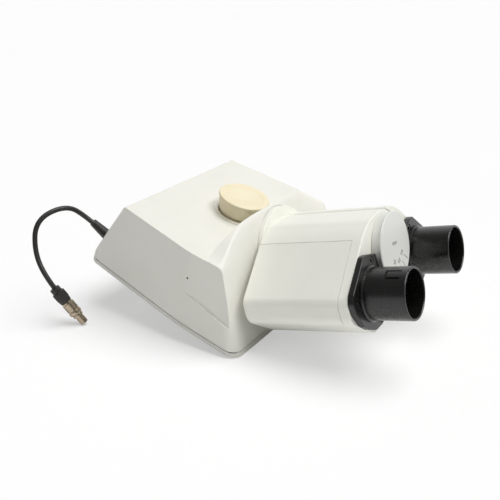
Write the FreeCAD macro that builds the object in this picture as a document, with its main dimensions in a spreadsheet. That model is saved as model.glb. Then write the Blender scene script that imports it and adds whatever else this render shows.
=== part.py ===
# Binocular photo head of a laboratory microscope, resting front-down on its mount.
# Head frame: origin at the middle of the housing's front bottom edge, X to the right,
# Y to the back, Z up along the mount axis. Tube frame: the same origin, X to the right,
# Y up across the eyepiece tubes, Z forward along them. Wing frames turn with each arm.
import FreeCAD, Part
import math
import os
import re

import Sketcher

V = FreeCAD.Vector
Placement = FreeCAD.Placement
Rotation = FreeCAD.Rotation
AXIS_X = V(1, 0, 0)
AXIS_Y = V(0, 1, 0)
AXIS_Z = V(0, 0, 1)

doc = FreeCAD.newDocument("binocular_head")
sheet = doc.addObject("Spreadsheet::Sheet", "sizes")

SIZES = [
    ("tube_lean", 31.0, "eyepiece tubes above level, degrees"),
    ("front_lean", 25.5, "housing front leaning back, degrees"),
    ("front_half", 75.4, "half width of the housing at the front"),
    ("back_inset", 11.1, "housing sides drawn in at the back"),
    ("taper_start", 50.0, "where the sides begin to draw in"),
    ("base_depth", 140.0, "housing depth at the bottom"),
    ("roof_depth", 115.3, "housing depth at the roof"),
    ("roof_height", 58.2, "flat roof above the underside"),
    ("hood_rise", 17.3, "arched hood above the roof"),
    ("hood_back", 41.0, "ridge of the hood behind the front"),
    ("hood_lip", 0.4, "ridge above the roof at the sides"),
    ("hood_foot", 50.0, "height where the hood's front begins to roll back"),
    ("hood_roll", 3.5, "roll between the hood's front and top at the sides"),
    ("shell_wall", 3.0, "wall of the cast shell"),
    ("side_taper_blend", 260.0, "radius that blends the side taper"),
    ("rear_corner", 9.0, "rear upright corner radius"),
    ("front_corner", 9.0, "front corner radius at the underside"),
    ("edge_round", 0.5, "front corner radius where the hood begins"),
    ("rear_round", 2.5, "round between the roof and the rear face"),
    ("pillar_rad", 4.0, "screw pillar radius inside the shell"),
    ("pillar_inset", 2.5, "screw pillars from the inner wall"),
    ("pillar_height", 12.0, "screw pillar height"),
    ("panel_recess", 1.8, "depth of the side panel at its front"),
    ("crease_front", 19.3, "height of the side crease at its front"),
    ("crease_back", 33.4, "height of the side crease where it fades"),
    ("crease_end", 74.0, "where the side crease fades out"),
    ("side_hole", 0.9, "radius of the set screw hole in each side"),
    ("side_hole_y", 50.3, "set screw hole behind the front"),
    ("side_hole_z", 39.0, "set screw hole above the underside"),
    ("base_screw_first", 18.0, "front base screws behind the front"),
    ("base_screw_middle", 74.0, "middle base screws behind the front"),
    ("base_screw_last", 13.0, "rear base screws in front of the back"),
    ("base_thickness", 3.0, "base plate thickness"),
    ("gasket_thickness", 0.6, "foam gasket thickness"),
    ("gasket_inset", 1.2, "gasket set back from the edge"),
    ("gasket_width", 4.0, "gasket width"),
    ("port_y", 62.2, "mount and photo port axis behind the front"),
    ("flange_drop", 10.0, "dovetail below the underside"),
    ("flange_rad", 28.5, "dovetail radius at its foot"),
    ("neck_rad", 26.0, "dovetail neck radius"),
    ("dovetail_rise", 5.0, "height of the dovetail cone"),
    ("foot_land", 1.0, "straight land at the dovetail's foot"),
    ("collar_rad", 34.0, "collar of the dovetail above the base plate"),
    ("collar_thickness", 4.0, "collar thickness"),
    ("light_bore", 17.0, "light path radius through the dovetail"),
    ("fit_gap", 0.1, "radial clearance of seated round parts"),
    ("run_gap", 0.3, "clearance between moving faces"),
    ("shaft_gap", 0.05, "radial clearance of shafts in their bores"),
    ("axis_v", 51.0, "swing axis above the tube frame's origin"),
    ("arm", 43.3, "swing axis to eyepiece tube axis"),
    ("droop", 22.7, "arms below level at rest, degrees"),
    ("closing", 30.0, "swing of each arm to the narrow stop, degrees"),
    ("wing_rear", 10.0, "rear face of the wings along the tubes"),
    ("wing_front", 86.0, "front face of the wings along the tubes"),
    ("wing_wall", 2.5, "wall of the wing castings"),
    ("cover_line", 23.4, "seam of the wing cover from the swing axis"),
    ("cover_front", 79.5, "front seam of the wing cover"),
    ("seam", 0.25, "open seam between case and cover"),
    ("hub_rad", 25.0, "hub drum of the left wing"),
    ("hub_gap", 0.4, "swinging parts clear of the hub and disc"),
    ("bearing_wall", 3.5, "rear bearing wall of the hub drum"),
    ("disc_rad", 32.6, "rear disc of the right wing"),
    ("disc_rear", 5.5, "rear face of the disc along the tubes"),
    ("pocket_gap", 0.5, "disc clear of its pocket in the housing front"),
    ("boss_rad", 30.0, "boss inside the housing front behind the disc"),
    ("spindle_rad", 13.0, "hollow spindle radius"),
    ("spindle_bore", 11.0, "hollow spindle bore radius"),
    ("spindle_back", -9.0, "rear end of the spindle along the tubes"),
    ("spindle_collar_rad", 24.0, "spindle collar inside the housing"),
    ("spindle_collar_thickness", 3.0, "spindle collar thickness"),
    ("spindle_screw_circle", 18.5, "spindle screws from the swing axis"),
    ("spindle_screw_length", 11.0, "spindle screw shank length"),
    ("window_back", 44.0, "rear end of the spindle's light windows"),
    ("window_length", 18.0, "length of the spindle's light windows"),
    ("window_width", 12.0, "width of the spindle's light windows"),
    ("dial_rad", 23.3, "face radius of the distance dial"),
    ("dial_drum_length", 5.4, "dial drum length"),
    ("dial_face_thickness", 1.2, "dial face thickness"),
    ("dial_gap", 0.3, "dial drum clear of the wing"),
    ("plate_thickness", 4.0, "black tube plate thickness"),
    ("sleeve_rad", 16.6, "eyepiece sleeve outer radius"),
    ("sleeve_bore", 15.0, "eyepiece sleeve bore radius"),
    ("sleeve_length", 28.4, "eyepiece sleeve beyond the plate"),
    ("spigot_rad", 15.9, "sleeve spigot radius through the plate"),
    ("spigot_length", 7.0, "sleeve spigot behind the plate's front"),
    ("stop_rad", 13.0, "eyepiece stop radius"),
    ("stop_thickness", 2.0, "eyepiece stop thickness"),
    ("lip_rad", 17.8, "lip radius at the sleeve's foot"),
    ("lip_length", 1.3, "lip length at the sleeve's foot"),
    ("slot_back", 14.2, "spring tab slot beyond the plate"),
    ("slot_length", 9.8, "spring tab slot length"),
    ("slot_width", 1.0, "spring tab slot width"),
    ("slot_turn", 80.8, "spring tab slot around the sleeve, degrees"),
    ("slot_span", 20.8, "spring tab slot span, degrees"),
    ("glass_half", 9.0, "half width of the tube prisms"),
    ("bracket_thickness", 3.0, "tube prism bracket thickness"),
    ("bolt_rad", 20.4, "plate screw circle radius"),
    ("plate_screw_angle", 134.0, "first plate screw from the arm, degrees"),
    ("plate_screw_step", 111.0, "angle between plate screws, degrees"),
    ("screw_rad", 1.5, "M3 screw shank radius"),
    ("head_rad", 2.7, "M3 cap head radius"),
    ("head_height", 2.4, "M3 cap head height"),
    ("socket_rad", 1.25, "hex socket radius"),
    ("screw_length", 7.0, "M3 screw shank length"),
    ("ring_rad", 19.5, "photo port ring radius"),
    ("ring_lip", 0.8, "photo port ring above the roof"),
    ("ring_neck", 17.8, "photo port ring neck radius"),
    ("port_bore", 15.5, "photo port bore radius"),
    ("ring_depth", 6.0, "photo port ring below the roof"),
    ("photo_tube_wall", 2.0, "photo tube wall"),
    ("photo_tube_length", 10.0, "photo tube below the port ring"),
    ("cap_rise", 12.9, "cap above the port ring"),
    ("cap_top_rad", 18.6, "cap radius at the top"),
    ("cap_foot_rad", 15.8, "cap radius above the ring"),
    ("cap_plug", 5.0, "cap plug inside the port"),
    ("cap_band", 2.0, "straight band at the cap's top"),
    ("cap_travel", 22.0, "lift of the cap out of the port"),
    ("carriage_travel", 36.0, "prism carriage travel"),
    ("prism_width", 26.0, "prism width"),
    ("prism_half", 12.0, "prism half depth"),
    ("prism_height", 23.0, "prism height"),
    ("rail_rad", 2.0, "carriage rail radius"),
    ("rail_half_span", 16.0, "rails in front of and behind the light axis"),
    ("rail_height", 15.0, "rails above the underside"),
    ("cheek_inset", 13.4, "rail cheeks inside the housing's sides"),
    ("cheek_thickness", 4.0, "rail cheek thickness"),
    ("frame_thickness", 4.0, "optic frame thickness"),
    ("deck_thickness", 3.0, "carriage deck thickness"),
    ("rack_depth", 3.0, "rack bar depth"),
    ("tooth_pitch", 2.4, "rack tooth pitch"),
    ("tooth_depth", 1.1, "rack tooth depth"),
    ("pinion_rad", 8.0, "pinion outer radius"),
    ("gear_face", 4.0, "pinion and rack face height"),
    ("motor_rad", 10.0, "shutter motor radius"),
    ("motor_length", 24.0, "shutter motor length"),
    ("board_length", 84.0, "circuit board length"),
    ("board_width", 20.0, "circuit board width"),
    ("board_thickness", 1.6, "circuit board thickness"),
    ("board_back", 32.0, "circuit board front edge before the housing's back"),
    ("standoff_height", 5.0, "circuit board standoff height"),
    ("crown_rad", 23.0, "crown wheel radius"),
    ("crown_thickness", 3.0, "crown wheel thickness"),
    ("crown_bore", 16.0, "crown wheel bore radius"),
    ("idler_rad", 5.6, "idler wheel radius"),
    ("idler_length", 5.0, "idler wheel length"),
    ("idler_reach", 16.0, "idler wheel from the swing axis"),
    ("idler_pin_rad", 1.5, "idler pin radius"),
    ("cable_side", 23.4, "cable exit inside the housing's left side"),
    ("cable_z", 16.6, "cable exit above the underside"),
    ("cable_rad", 1.85, "cable radius"),
    ("relief_length", 19.0, "strain relief length"),
    ("relief_rise", 13.0, "strain relief turned up from the underside, degrees"),
    ("relief_foot", 4.4, "strain relief radius at the housing"),
    ("relief_neck", 3.2, "strain relief radius through the wall"),
    ("relief_tip", 2.9, "strain relief radius at its tip"),
    ("plug_dip", 54.8, "plug pointing below level, degrees"),
    ("plug_heading", -58.4, "plug heading from the right, degrees"),
    ("boot_length", 13.0, "plug boot length"),
    ("boot_rad", 3.7, "plug boot radius"),
    ("grip_rad", 4.7, "plug sleeve radius"),
    ("grip_length", 11.5, "plug sleeve length"),
    ("core_rad", 3.2, "plug core radius"),
    ("nose_rad", 2.9, "plug nose radius"),
    ("nose_length", 9.0, "plug nose length"),
    ("pin_rad", 0.35, "contact pin radius"),
]
for row, (name, value, note) in enumerate(SIZES, start=1):
    sheet.set("A%d" % row, note)
    sheet.set("B%d" % row, str(value))
    sheet.setAlias("B%d" % row, name)
doc.recompute()

PARTS = []


def sized(text):
    """Point the plain size names of an expression at the sheet."""
    return re.sub(r"\b([a-z][a-z_]{2,})\b(?!\()", r"sizes.\1", text)


def num(text):
    """The present value of an expression of size names."""
    return float(sheet.evalExpression(sized(text)))


def bind(item, **exprs):
    """Tie properties to the sheet; two underscores stand for a dot."""
    for prop, text in exprs.items():
        item.setExpression(prop.replace("__", "."), sized(text))


def keep(item, label, frame):
    """Give a finished sub-part its name and its frame."""
    item.Label = label
    item.Placement = frame
    PARTS.append(item)
    return item


def feature(label, frame, shape):
    """A sub-part whose shape is worked out here."""
    item = doc.addObject("Part::Feature", label)
    item.Shape = shape
    return keep(item, label, frame)


def origin_plane(body, role):
    for plane in body.Origin.OriginFeatures:
        if plane.Role == role:
            return plane
    raise ValueError(role)


def outline(body, role, points, lift="0"):
    """A closed sketch whose corners are tied to the sheet."""
    sketch = body.newObject("Sketcher::SketchObject", body.Name + "_outline")
    sketch.AttachmentSupport = (origin_plane(body, role), [""])
    sketch.MapMode = "FlatFace"
    bind(sketch, AttachmentOffset__Base__z=lift)
    places = [(num(across), num(along)) for across, along in points]
    count = len(places)
    for index, (across, along) in enumerate(places):
        nxt = places[(index + 1) % count]
        sketch.addGeometry(Part.LineSegment(V(across, along, 0), V(nxt[0], nxt[1], 0)), False)
    for index in range(count):
        sketch.addConstraint(Sketcher.Constraint("Coincident", index, 2, (index + 1) % count, 1))
    for index, (across, along) in enumerate(points):
        for kind, text, value in (("DistanceX", across, places[index][0]),
                                  ("DistanceY", along, places[index][1])):
            number = sketch.addConstraint(Sketcher.Constraint(kind, -1, 1, index, 1, value))
            sketch.setExpression("Constraints[%d]" % number, sized(text))
    return sketch


def lathe(label, profile):
    """A body turned about its own Z from (radius, height) corners."""
    body = doc.addObject("PartDesign::Body", label)
    sketch = outline(body, "XZ_Plane", profile)
    spin = body.newObject("PartDesign::Revolution", label + "_spin")
    spin.Profile = sketch
    spin.ReferenceAxis = (sketch, ["V_Axis"])
    spin.Angle = 360
    sketch.Visibility = False
    return body


def turned(label, frame, profile):
    return keep(lathe(label, profile), label, frame)


def ring(outer, inner, low, high):
    """The profile of a plain ring, bush or tube."""
    return [(inner, low), (outer, low), (outer, high), (inner, high)]


def box(name, corner, size):
    item = doc.addObject("Part::Box", name)
    bind(item, Length=size[0], Width=size[1], Height=size[2], Placement__Base__x=corner[0],
         Placement__Base__y=corner[1], Placement__Base__z=corner[2])
    return item


def drum(name, foot, radius, height, along=AXIS_Z):
    item = doc.addObject("Part::Cylinder", name)
    item.Placement = Placement(V(), Rotation(AXIS_Z, along))
    bind(item, Radius=radius, Height=height, Placement__Base__x=foot[0],
         Placement__Base__y=foot[1], Placement__Base__z=foot[2])
    return item


def joined(label, frame, pieces):
    item = doc.addObject("Part::MultiFuse", label)
    item.Shapes = pieces
    item.Refine = True
    return keep(item, label, frame) if frame else item


def carved(label, frame, base, tools):
    """A base with one or more tools cut from it."""
    item = doc.addObject("Part::Cut", label)
    item.Base = base
    item.Tool = tools[0] if len(tools) == 1 else joined(label + "_tools", None, tools)
    item.Refine = True
    return keep(item, label, frame) if frame else item


def shift(across=0.0, along=0.0, up=0.0):
    return Placement(V(across, along, up), Rotation())


# Frames. The head tips forward until the dovetail's foot meets the table.
tip_angle = math.degrees(math.atan(num("flange_drop / (port_y - flange_rad)")))
HEAD = Placement(V(), Rotation(AXIS_X, tip_angle))
TUBE = HEAD * Placement(V(), Rotation(AXIS_X, 90 - num("tube_lean")))
PORT = HEAD * shift(along=num("port_y"))
SPINDLE = TUBE * shift(along=num("axis_v"))
WINGS = {"left": -1, "right": 1}


def wing_frame(side):
    return SPINDLE * Placement(V(), Rotation(AXIS_Z, -side * num("droop")))


def rounded_path(points, radii, closed):
    """Edges through corner points, each corner rounded by a tangent arc."""
    count = len(points)
    cuts = []
    for index, corner in enumerate(points):
        radius = radii[index]
        if radius <= 0 or (not closed and index in (0, count - 1)):
            cuts.append((corner, None, corner))
            continue
        back = (points[index - 1] - corner).normalize()
        ahead = (points[(index + 1) % count] - corner).normalize()
        half = back.getAngle(ahead) / 2
        reach = radius / math.tan(half)
        middle = corner + (back + ahead).normalize() * (radius / math.sin(half) - radius)
        cuts.append((corner + back * reach, middle, corner + ahead * reach))
    edges = []
    for index, (start, middle, end) in enumerate(cuts):
        if middle:
            edges.append(Part.Arc(start, middle, end).toShape())
        if index < count - 1 or closed:
            nxt = cuts[(index + 1) % count][0]
            if end.distanceToPoint(nxt) > 1e-6:
                edges.append(Part.LineSegment(end, nxt).toShape())
    return edges


def plate(points, radii, low, high):
    """A solid slab with a rounded outline, from low to high along Z."""
    corners = [V(across, along, low) for across, along in points]
    wire = Part.Wire(rounded_path(corners, radii, True))
    return Part.Face(wire).extrude(V(0, 0, high - low))


def rod(radius, foot, length, along=AXIS_Z):
    return Part.makeCylinder(radius, length, foot, along)


def slab(corner, size):
    return Part.makeBox(size[0], size[1], size[2], corner)


# Housing
def plan_slab(inset, low, high):
    """The housing's outline seen from above, as a slab."""
    front = num("front_half") - inset
    back = num("front_half - back_inset") - inset
    start = num("taper_start")
    depth = num("base_depth") - inset
    foot = inset - num("front_corner")
    blend = num("side_taper_blend")
    rear = num("rear_corner") - inset / 2
    points = [(-front, foot), (front, foot), (front, start), (back, depth), (-back, depth), (-front, start)]
    return plate(points, [0, 0, blend, rear, rear, blend], low, high)


def side_prism(inset, low):
    """The housing's outline seen from the side, as a prism across it."""
    lean = math.tan(math.radians(num("front_lean")))
    front_step = inset / math.cos(math.radians(num("front_lean")))
    slope = num("(base_depth - roof_depth) / roof_height")
    back_step = inset * math.sqrt(1 + slope * slope)
    top = num("roof_height") - inset
    half = num("front_half") + 1
    profile = [(low * lean + front_step, low), (top * lean + front_step, top),
               (num("base_depth") - top * slope - back_step, top),
               (num("base_depth") - low * slope - back_step, low)]
    radii = [0, 0, max(num("rear_round") - inset, 0.5), 0]
    wire = Part.Wire(rounded_path([V(-half, along, up) for along, up in profile], radii, True))
    return Part.Face(wire).extrude(V(2 * half, 0, 0))


def hood_section(across):
    """The hood cut across at one station: its front rolls back to a level ridge."""
    lean = math.tan(math.radians(num("front_lean")))
    share = (1 + math.cos(math.pi * (abs(across) / num("front_half")) ** 2.5)) / 2
    lip, rise, back, foot = num("hood_lip"), num("hood_rise"), num("hood_back"), num("hood_foot")
    ridge = num("roof_height") + lip + (rise - lip) * share
    side_roll = num("hood_roll")
    deep_roll = num("roof_height + hood_rise - hood_foot") - 0.5
    low = ridge - side_roll - (deep_roll - side_roll) * share
    corner = V(across, ridge * lean, ridge)
    roll_back = corner + V(0, side_roll + 0.8 * (back - (num("roof_height") + rise) * lean - side_roll) * share, 0)
    roll_front = V(across, low * lean, low)
    feet = [V(across, foot * lean, foot), V(across, back, foot), V(across, back, ridge)]
    roll = Part.BezierCurve()
    roll.setPoles([roll_back, corner, roll_front])
    lines = [Part.LineSegment(a, b).toShape() for a, b in zip([roll_front] + feet, feet + [roll_back])]
    return Part.Wire([roll.toShape()] + lines)


def hood():
    """The arched hood that rises from the roof to its ridge and rolls down into the front face."""
    shares = [0.93, 0.85, 0.76, 0.66, 0.55, 0.4, 0.2]
    stations = [-1.0] + [-share for share in shares] + [0.0] + shares[::-1] + [1.0]
    return Part.makeLoft([hood_section(share * num("front_half")) for share in stations], True, False)


def side_cut(side):
    """The thin wedge that sinks one side panel above its crease."""
    front = num("front_half")
    recess = num("panel_recess")
    end = num("crease_end")
    rise = num("(crease_back - crease_front) / (crease_end - crease_front / 2)")
    low = num("crease_front") - rise * num("crease_front") / 2
    top = num("roof_height + hood_rise")
    wedge = Part.makePolygon([V(side * (front - recess * 1.15), 0, 0), V(side * (front + 4), 0, 0),
                              V(side * (front + 4), end, 0), V(side * front, end, 0),
                              V(side * (front - recess * 1.15), 0, 0)])
    wedge = Part.Face(wedge).extrude(V(0, 0, top + 1))
    crease = Part.makePolygon([V(-front - 9, -1, low - rise), V(-front - 9, end + 1, low + rise * (end + 1)),
                               V(-front - 9, end + 1, top + 2), V(-front - 9, -1, top + 2),
                               V(-front - 9, -1, low - rise)])
    crease = Part.Face(crease).extrude(V(2 * front + 18, 0, 0))
    return wedge.common(crease)


def edges_where(shape, test):
    return [edge for edge in shape.Edges if test(edge.CenterOfMass, edge)]


def taper_round(shape, edge, low_radius, high_radius):
    """Round one upright edge with a radius that changes from its foot to its top."""
    foot_first = edge.Vertexes[0].Z < edge.Vertexes[-1].Z
    first, last = (low_radius, high_radius) if foot_first else (high_radius, low_radius)
    return shape.makeFillet(first, last, [edge])


def housing_block():
    """The housing below the roof, solid, up to the foot of the hood in front."""
    front, foot = num("front_half"), num("hood_foot")
    block = plan_slab(0, 0, num("roof_height") + 1).common(side_prism(0, 0))
    block = block.cut(slab(V(-front - 1, -20, foot), (2 * front + 2, 20 + num("hood_back"), 60))).Solids[0]
    for side in WINGS.values():
        upright = edges_where(block, lambda c, e: abs(c.x - side * front) < 0.01 and c.y < num("taper_start") / 2
                              and 10 < c.z < foot - 1)
        block = taper_round(block, upright[0], num("front_corner"), num("edge_round"))
    return block


def housing_outer():
    outer = BLOCK.fuse(hood()).removeSplitter()
    for side in WINGS.values():
        outer = outer.cut(side_cut(side))
    return outer


def half_width(along):
    """The housing's half width at a distance behind its front."""
    start = num("taper_start")
    slope = num("back_inset / (base_depth - taper_start)")
    return num("front_half") - max(0.0, along - start) * slope


BASE_SCREWS = [(side * (half_width(along) - num("shell_wall + pillar_inset")), along)
               for side in (-1, 1)
               for along in (num("base_screw_first"), num("base_screw_middle"), num("base_depth - base_screw_last"))]
BLOCK = housing_block()
OUTER = housing_outer()
RELIEF_IN_HEAD = Placement(
    V(num("cable_side - front_half"), num("base_depth - (base_depth - roof_depth) * cable_z / roof_height"),
      num("cable_z")),
    Rotation(AXIS_X, num("relief_rise") - 90))
SPINDLE_IN_HEAD = Placement(V(), Rotation(AXIS_X, 90 - num("tube_lean"))) * shift(along=num("axis_v"))


def round_places(radius, count, first):
    """Places on a circle about the frame's own axis."""
    turns = [math.radians(first + 360.0 * index / count) for index in range(count)]
    return [(radius * math.cos(turn), radius * math.sin(turn)) for turn in turns]


SPINDLE_SCREWS = round_places(num("spindle_screw_circle"), 4, 45)
FLANGE_SCREWS = round_places(num("(collar_rad + neck_rad) / 2"), 4, 45)


def housing_shell():
    low = num("base_thickness + gasket_thickness")
    roof = num("roof_height")
    wall = num("shell_wall")
    half = num("front_half") + 5
    outer = OUTER.common(slab(V(-half, -20, low), (2 * half, 200, 90)))
    inner = plan_slab(wall, low - 1, roof - wall + 1).common(side_prism(wall, low - 1))
    shell = outer.cut(inner)
    boss_root = num("spindle_back + spindle_collar_thickness + 5")
    pocket_floor = num("disc_rear - run_gap")
    boss = rod(num("boss_rad"), V(0, 0, boss_root), pocket_floor - boss_root)
    boss.Placement = SPINDLE_IN_HEAD
    backing = rod(num("disc_rad + pocket_gap") + wall, V(0, 0, pocket_floor - wall), 30)
    backing.Placement = SPINDLE_IN_HEAD
    pocket = rod(num("disc_rad + pocket_gap"), V(0, 0, pocket_floor), 30)
    pocket.Placement = SPINDLE_IN_HEAD
    pillars = [rod(num("pillar_rad"), V(across, along, low), num("pillar_height")).common(outer)
               for across, along in BASE_SCREWS]
    shell = shell.fuse([boss.common(outer), backing.common(outer)] + pillars)
    port = num("port_y")
    cuts = [pocket, rod(num("ring_neck + fit_gap"), V(0, port, roof - wall - 6), 40)]
    passage = rod(num("spindle_rad + fit_gap"), V(0, 0, -30), 60)
    passage.Placement = SPINDLE_IN_HEAD
    cuts.append(passage)
    for across, along in SPINDLE_SCREWS:
        hole = rod(num("screw_rad + fit_gap"), V(across, along, boss_root - 1),
                   num("spindle_back + spindle_screw_length + fit_gap") - boss_root + 1)
        hole.Placement = SPINDLE_IN_HEAD
        cuts.append(hole)
    for across, along in BASE_SCREWS:
        cuts.append(rod(num("screw_rad + fit_gap"), V(across, along, low - 1), num("screw_length") + 1))
    for side in WINGS.values():
        cuts.append(rod(num("side_hole"), V(side * (num("front_half") - 6), num("side_hole_y"), num("side_hole_z")),
                        10, V(side, 0, 0)))
    passage = rod(num("relief_neck + fit_gap"), V(0, 0, -20), 40)
    passage.Placement = RELIEF_IN_HEAD
    cuts.append(passage)
    return shell.cut(cuts).removeSplitter()


feature("housing_shell", HEAD, housing_shell())

# Underside: gasket, base plate and dovetail
low_shell = num("base_thickness + gasket_thickness")
gasket_outer = plan_slab(num("gasket_inset"), num("base_thickness"), low_shell)
gasket_inner = plan_slab(num("gasket_inset + gasket_width"), num("base_thickness") - 1, low_shell + 1)
gasket_front = side_prism(num("gasket_inset"), num("base_thickness"))
gasket_back = side_prism(num("gasket_inset + gasket_width"), num("base_thickness") - 1)
gasket_holes = [rod(num("screw_rad + fit_gap"), V(across, along, 0), 2 * low_shell) for across, along in BASE_SCREWS]
gasket = gasket_outer.common(gasket_front).common(BLOCK).cut([gasket_inner.common(gasket_back)] + gasket_holes)
feature("base_gasket", HEAD, gasket)


def base_plate():
    half = num("front_half") + 5
    body = BLOCK.common(slab(V(-half, -20, -1), (2 * half, 200, num("base_thickness") + 1)))
    cuts = [rod(num("neck_rad + fit_gap"), V(0, num("port_y"), -1), 9)]
    for across, along in BASE_SCREWS:
        cuts.append(rod(num("screw_rad + fit_gap"), V(across, along, -1), 9))
        cuts.append(rod(num("head_rad + fit_gap"), V(across, along, -1), 1 + num("head_height - 0.6")))
    for across, along in FLANGE_SCREWS:
        cuts.append(rod(num("screw_rad + fit_gap"), V(across, along + num("port_y"), -1), 9))
    return body.cut(cuts)


def screw(foot, up, length):
    """A socket head screw; foot is under the head, up points out of the head."""
    up = V(up).normalize()
    body = rod(num("screw_rad"), foot - up * length, length, up)
    body = body.fuse(rod(num("head_rad"), foot, num("head_height"), up))
    return body.cut(rod(num("socket_rad"), foot + up * num("head_height - 1.3"), 3, up))


def screws(label, frame, feet, up, length):
    feature(label, frame, Part.makeCompound([screw(foot, up, length) for foot in feet]))


feature("base_plate", HEAD, base_plate())
dovetail = lathe("dovetail_turning", [
    ("light_bore", "0 - flange_drop"), ("flange_rad", "0 - flange_drop"),
    ("flange_rad", "foot_land - flange_drop"), ("neck_rad", "dovetail_rise - flange_drop"),
    ("neck_rad", "base_thickness"), ("collar_rad", "base_thickness"),
    ("collar_rad", "base_thickness + collar_thickness"), ("light_bore", "base_thickness + collar_thickness")])
carved("mount_dovetail", PORT, dovetail, [
    drum("dovetail_hole_%d" % index, (str(across), str(along), "0"), "screw_rad + fit_gap", "20")
    for index, (across, along) in enumerate(FLANGE_SCREWS)])
screws("base_screws", HEAD, [V(across, along, num("head_height - 0.6")) for across, along in BASE_SCREWS],
       V(0, 0, -1), num("screw_length"))
screws("dovetail_screws", PORT, [V(across, along, num("base_thickness + collar_thickness"))
                                 for across, along in FLANGE_SCREWS], AXIS_Z, num("screw_length") - 1)

# Photo port: ring, tube and lift-off cap
RING_TOP = "roof_height + ring_lip"
turned("photo_port_ring", PORT, [
    ("port_bore", "roof_height - ring_depth"), ("ring_neck", "roof_height - ring_depth"),
    ("ring_neck", "roof_height"), ("ring_rad", "roof_height"), ("ring_rad", RING_TOP + " - 0.3"),
    ("ring_rad - 0.5", RING_TOP), ("port_bore + 1.2", RING_TOP), ("port_bore", RING_TOP + " - 1.2")])
PHOTO_TOP = "roof_height - ring_depth"
turned("photo_tube", PORT, ring("port_bore + photo_tube_wall", "port_bore", PHOTO_TOP + " - photo_tube_length",
                                PHOTO_TOP))
turned("photo_port_cap", PORT, [
    ("0", RING_TOP + " - cap_plug"), ("port_bore - run_gap", RING_TOP + " - cap_plug"),
    ("port_bore - run_gap", RING_TOP), ("cap_foot_rad", RING_TOP + " + run_gap"),
    ("cap_top_rad - 0.7", RING_TOP + " + cap_rise - cap_band - 0.8"),
    ("cap_top_rad - 0.7", RING_TOP + " + cap_rise - cap_band"),
    ("cap_top_rad", RING_TOP + " + cap_rise - cap_band + 0.3"),
    ("cap_top_rad", RING_TOP + " + cap_rise - 0.6"), ("cap_top_rad - 0.6", RING_TOP + " + cap_rise"),
    ("0", RING_TOP + " + cap_rise")])

# Optic frame, rails and switching prism carriage below the photo tube
FRAME_FLOOR = "base_thickness + collar_thickness"
RAIL_FRONT = "port_y - rail_half_span"
RAIL_REAR = "port_y + rail_half_span"
CHEEK_DEPTH = "2 * rail_half_span + 12"


def cheek(name, across):
    return box(name, (across, RAIL_FRONT + " - 6", FRAME_FLOOR),
               ("cheek_thickness", CHEEK_DEPTH, "rail_height + rail_rad + 3 - base_thickness - collar_thickness"))


CHEEK_HALF = "(front_half - cheek_inset)"
frame_bar = box("frame_bar", ("0 - " + CHEEK_HALF, RAIL_FRONT + " - 6", FRAME_FLOOR),
                ("2 * " + CHEEK_HALF, CHEEK_DEPTH, "frame_thickness"))
motor_ledge = box("motor_ledge", ("0 - motor_rad - 4", "port_y", FRAME_FLOOR),
                  ("2 * motor_rad + 8", "rail_half_span + 2 * motor_rad + 6", "frame_thickness"))
MOTOR_Y = "port_y + rail_half_span + rail_rad + 1.5 + rack_depth + run_gap + pinion_rad"
POST_TOP = "rail_height + gear_face / 2 + 1"
posts = [drum("motor_post_%d" % index, (side + " * (motor_rad + 1)", MOTOR_Y + " + 3", FRAME_FLOOR), "2.5",
              POST_TOP + " - base_thickness - collar_thickness")
         for index, side in enumerate(("-1", "1"))]
carved("optic_frame", HEAD,
       joined("frame_casting", None, [frame_bar, motor_ledge, cheek("left_cheek", "0 - " + CHEEK_HALF),
                                      cheek("right_cheek", CHEEK_HALF + " - cheek_thickness")] + posts),
       [drum("frame_bore", ("0", "port_y", "0"), "light_bore", "rail_height")]
       + [drum(name, ("0 - 1 - " + CHEEK_HALF, along, "rail_height"), "rail_rad", "2 + 2 * " + CHEEK_HALF, AXIS_X)
          for name, along in (("front_rail_seat", RAIL_FRONT), ("rear_rail_seat", RAIL_REAR))]
       + [drum("head_notch_%d" % index, (str(across), "port_y + (%s)" % along, "base_thickness"),
               "head_rad + run_gap", "rail_height") for index, (across, along) in enumerate(FLANGE_SCREWS)])


def rails():
    half = num(CHEEK_HALF)
    return [rod(num("rail_rad"), V(-half, num(along), num("rail_height")), 2 * half, AXIS_X)
            for along in (RAIL_FRONT, RAIL_REAR)]


feature("carriage_rails", HEAD, Part.makeCompound(rails()))


def toothed_bar(corner, length, depth, height):
    """A rack along X whose teeth point to the back."""
    bar = slab(corner, (length, depth, height))
    pitch = num("tooth_pitch")
    gaps = [slab(V(corner.x + pitch * (index + 0.25), corner.y + depth - num("tooth_depth"), corner.z - 1),
                 (pitch / 2, depth, height + 2)) for index in range(int(length / pitch))]
    return bar.cut(gaps)


def carriage():
    station = num("carriage_travel")
    edge = num("prism_width / 2 + 1")
    front = num(RAIL_FRONT + " - rail_rad - 1.5")
    depth = num("2 * (rail_half_span + rail_rad + 1.5)")
    thick = num("2 * (rail_rad + 1.5)")
    level = num("rail_height - rail_rad - 1.5")
    length = station + 2 * edge
    deck = slab(V(-station - edge, front, level), (length, depth, thick))
    cuts = [rod(num("rail_rad + shaft_gap"), V(-station - edge - 1, num(along), num("rail_height")), length + 2,
                AXIS_X) for along in (RAIL_FRONT, RAIL_REAR)]
    for across in (0, -station):
        cuts.append(rod(num("prism_half - 1"), V(across, num("port_y"), level - 1), thick + 2))
        cuts.append(slab(V(across - num("prism_width / 2"), num("port_y - prism_half"), level + thick - 1.5),
                         (num("prism_width"), num("2 * prism_half"), 5)))
    rack = toothed_bar(V(-station - edge, front + depth, num("rail_height - gear_face / 2")), length,
                       num("rack_depth"), num("gear_face"))
    return deck.cut(cuts).fuse(rack).removeSplitter()


feature("prism_carriage", HEAD, carriage())
PRISM_FOOT = num("rail_height + rail_rad")


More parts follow.
